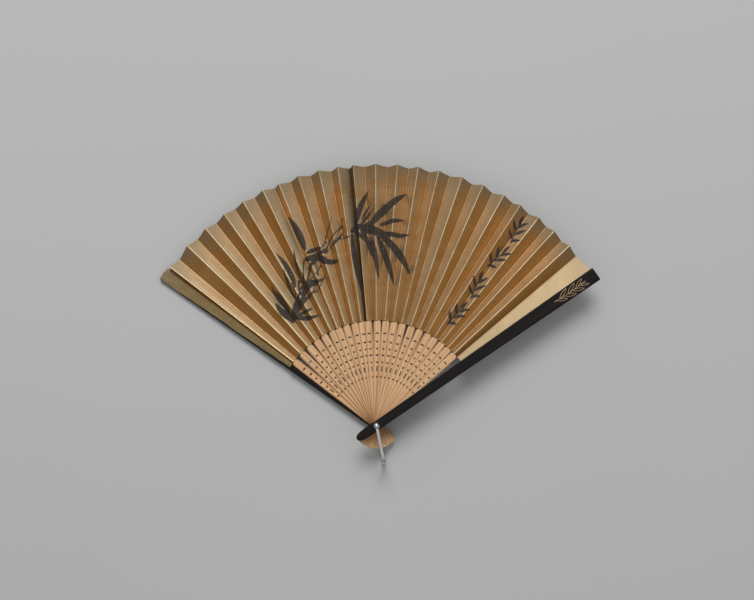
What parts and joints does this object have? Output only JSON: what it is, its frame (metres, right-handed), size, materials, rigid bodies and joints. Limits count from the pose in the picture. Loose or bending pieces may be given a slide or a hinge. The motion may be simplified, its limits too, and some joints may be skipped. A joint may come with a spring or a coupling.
{
  "type": "folding hand fan",
  "caption": "Folding hand fan with a pleated gold leaf painted with a bamboo spray, pierced bamboo ribs, black lacquered guards and a steel rivet with a tassel bail.",
  "frame": {"origin": "on the rivet's axis, at the flat back end of the rivet", "axes": "+Z along the rivet towards its domed head, +Y up the middle of the open fan, +X towards the front guard's side"},
  "size_m": [0.3214, 0.2181, 0.0285],
  "materials": {
    "lacquer": "black satin lacquer on wood",
    "bamboo": "plain scraped bamboo, light tan",
    "gold_paper": "brushed metallic gold paper with black ink painting",
    "steel": "plated steel, satin"
  },
  "bodies": {
    "back_guard": {"back_guard": "lacquer", "back_end_paper": "gold_paper", "free_pleats": "gold_paper", "rivet": "steel", "rivet_washer": "steel"},
    "rib_01": {"rib_01": "bamboo", "glued_pleat_01": "gold_paper"},
    "rib_02": {"rib_02": "bamboo", "glued_pleat_02": "gold_paper"},
    "rib_03": {"rib_03": "bamboo", "glued_pleat_03": "gold_paper"},
    "rib_04": {"rib_04": "bamboo", "glued_pleat_04": "gold_paper"},
    "rib_05": {"rib_05": "bamboo", "glued_pleat_05": "gold_paper"},
    "rib_06": {"rib_06": "bamboo", "glued_pleat_06": "gold_paper"},
    "rib_07": {"rib_07": "bamboo", "glued_pleat_07": "gold_paper"},
    "rib_08": {"rib_08": "bamboo", "glued_pleat_08": "gold_paper"},
    "rib_09": {"rib_09": "bamboo", "glued_pleat_09": "gold_paper"},
    "rib_10": {"rib_10": "bamboo", "glued_pleat_10": "gold_paper"},
    "rib_11": {"rib_11": "bamboo", "glued_pleat_11": "gold_paper"},
    "rib_12": {"rib_12": "bamboo", "glued_pleat_12": "gold_paper"},
    "rib_13": {"rib_13": "bamboo", "glued_pleat_13": "gold_paper"},
    "rib_14": {"rib_14": "bamboo", "glued_pleat_14": "gold_paper"},
    "rib_15": {"rib_15": "bamboo", "glued_pleat_15": "gold_paper"},
    "rib_16": {"rib_16": "bamboo", "glued_pleat_16": "gold_paper"},
    "rib_17": {"rib_17": "bamboo", "glued_pleat_17": "gold_paper"},
    "rib_18": {"rib_18": "bamboo", "glued_pleat_18": "gold_paper"},
    "rib_19": {"rib_19": "bamboo", "glued_pleat_19": "gold_paper"},
    "rib_20": {"rib_20": "bamboo", "glued_pleat_20": "gold_paper"},
    "rib_21": {"rib_21": "bamboo", "glued_pleat_21": "gold_paper"},
    "rib_22": {"rib_22": "bamboo", "glued_pleat_22": "gold_paper"},
    "front_guard": {"front_guard": "lacquer", "front_end_paper": "gold_paper"},
    "bail": {"bail": "steel"}
  },
  "joints": [
    {"name": "spread_01", "type": "hinge", "parent": "back_guard", "child": "rib_01", "pos_m": [0, 0, 0.0142], "axis": [0, 0, 1], "range_deg": [0, 3.1], "deforming": ["free_pleats"]},
    {"name": "spread_02", "type": "hinge", "parent": "rib_01", "child": "rib_02", "pos_m": [0, 0, 0.0142], "axis": [0, 0, 1], "range_deg": [0, 6]},
    {"name": "spread_03", "type": "hinge", "parent": "rib_02", "child": "rib_03", "pos_m": [0, 0, 0.0142], "axis": [0, 0, 1], "range_deg": [0, 5.5]},
    {"name": "spread_04", "type": "hinge", "parent": "rib_03", "child": "rib_04", "pos_m": [0, 0, 0.0142], "axis": [0, 0, 1], "range_deg": [0, 5.2]},
    {"name": "spread_05", "type": "hinge", "parent": "rib_04", "child": "rib_05", "pos_m": [0, 0, 0.0142], "axis": [0, 0, 1], "range_deg": [0, 5]},
    {"name": "spread_06", "type": "hinge", "parent": "rib_05", "child": "rib_06", "pos_m": [0, 0, 0.0142], "axis": [0, 0, 1], "range_deg": [0, 5]},
    {"name": "spread_07", "type": "hinge", "parent": "rib_06", "child": "rib_07", "pos_m": [0, 0, 0.0142], "axis": [0, 0, 1], "range_deg": [0, 3.8]},
    {"name": "spread_08", "type": "hinge", "parent": "rib_07", "child": "rib_08", "pos_m": [0, 0, 0.0142], "axis": [0, 0, 1], "range_deg": [0, 4.6]},
    {"name": "spread_09", "type": "hinge", "parent": "rib_08", "child": "rib_09", "pos_m": [0, 0, 0.0142], "axis": [0, 0, 1], "range_deg": [0, 4.7]},
    {"name": "spread_10", "type": "hinge", "parent": "rib_09", "child": "rib_10", "pos_m": [0, 0, 0.0142], "axis": [0, 0, 1], "range_deg": [0, 4.2]},
    {"name": "spread_11", "type": "hinge", "parent": "rib_10", "child": "rib_11", "pos_m": [0, 0, 0.0142], "axis": [0, 0, 1], "range_deg": [0, 3.4]},
    {"name": "spread_12", "type": "hinge", "parent": "rib_11", "child": "rib_12", "pos_m": [0, 0, 0.0142], "axis": [0, 0, 1], "range_deg": [0, 5]},
    {"name": "spread_13", "type": "hinge", "parent": "rib_12", "child": "rib_13", "pos_m": [0, 0, 0.0142], "axis": [0, 0, 1], "range_deg": [0, 4.8]},
    {"name": "spread_14", "type": "hinge", "parent": "rib_13", "child": "rib_14", "pos_m": [0, 0, 0.0142], "axis": [0, 0, 1], "range_deg": [0, 4.6]},
    {"name": "spread_15", "type": "hinge", "parent": "rib_14", "child": "rib_15", "pos_m": [0, 0, 0.0142], "axis": [0, 0, 1], "range_deg": [0, 4.6]},
    {"name": "spread_16", "type": "hinge", "parent": "rib_15", "child": "rib_16", "pos_m": [0, 0, 0.0142], "axis": [0, 0, 1], "range_deg": [0, 5.3]},
    {"name": "spread_17", "type": "hinge", "parent": "rib_16", "child": "rib_17", "pos_m": [0, 0, 0.0142], "axis": [0, 0, 1], "range_deg": [0, 4.9]},
    {"name": "spread_18", "type": "hinge", "parent": "rib_17", "child": "rib_18", "pos_m": [0, 0, 0.0142], "axis": [0, 0, 1], "range_deg": [0, 5]},
    {"name": "spread_19", "type": "hinge", "parent": "rib_18", "child": "rib_19", "pos_m": [0, 0, 0.0142], "axis": [0, 0, 1], "range_deg": [0, 4.2]},
    {"name": "spread_20", "type": "hinge", "parent": "rib_19", "child": "rib_20", "pos_m": [0, 0, 0.0142], "axis": [0, 0, 1], "range_deg": [0, 4.8]},
    {"name": "spread_21", "type": "hinge", "parent": "rib_20", "child": "rib_21", "pos_m": [0, 0, 0.0142], "axis": [0, 0, 1], "range_deg": [0, 4.5]},
    {"name": "spread_22", "type": "hinge", "parent": "rib_21", "child": "rib_22", "pos_m": [0, 0, 0.0142], "axis": [0, 0, 1], "range_deg": [0, 4.6]},
    {"name": "spread_front", "type": "hinge", "parent": "rib_22", "child": "front_guard", "pos_m": [0, 0, 0.0142], "axis": [0, 0, 1], "range_deg": [0, 7.2]},
    {"name": "bail_swing", "type": "hinge", "parent": "back_guard", "child": "bail", "pos_m": [0, 0, 0.0142], "axis": [0, 0, 1], "range_deg": [-115, 95]}
  ],
  "couplings": [
    {"joint": "spread_02", "follows": "spread_01", "ratio": 1.9355},
    {"joint": "spread_03", "follows": "spread_01", "ratio": 1.7742},
    {"joint": "spread_04", "follows": "spread_01", "ratio": 1.6774},
    {"joint": "spread_05", "follows": "spread_01", "ratio": 1.6129},
    {"joint": "spread_06", "follows": "spread_01", "ratio": 1.6129},
    {"joint": "spread_07", "follows": "spread_01", "ratio": 1.2258},
    {"joint": "spread_08", "follows": "spread_01", "ratio": 1.4839},
    {"joint": "spread_09", "follows": "spread_01", "ratio": 1.5161},
    {"joint": "spread_10", "follows": "spread_01", "ratio": 1.3548},
    {"joint": "spread_11", "follows": "spread_01", "ratio": 1.0968},
    {"joint": "spread_12", "follows": "spread_01", "ratio": 1.6129},
    {"joint": "spread_13", "follows": "spread_01", "ratio": 1.5484},
    {"joint": "spread_14", "follows": "spread_01", "ratio": 1.4839},
    {"joint": "spread_15", "follows": "spread_01", "ratio": 1.4839},
    {"joint": "spread_16", "follows": "spread_01", "ratio": 1.7097},
    {"joint": "spread_17", "follows": "spread_01", "ratio": 1.5806},
    {"joint": "spread_18", "follows": "spread_01", "ratio": 1.6129},
    {"joint": "spread_19", "follows": "spread_01", "ratio": 1.3548},
    {"joint": "spread_20", "follows": "spread_01", "ratio": 1.5484},
    {"joint": "spread_21", "follows": "spread_01", "ratio": 1.4516},
    {"joint": "spread_22", "follows": "spread_01", "ratio": 1.4839},
    {"joint": "spread_front", "follows": "spread_01", "ratio": 2.3226}
  ]
}
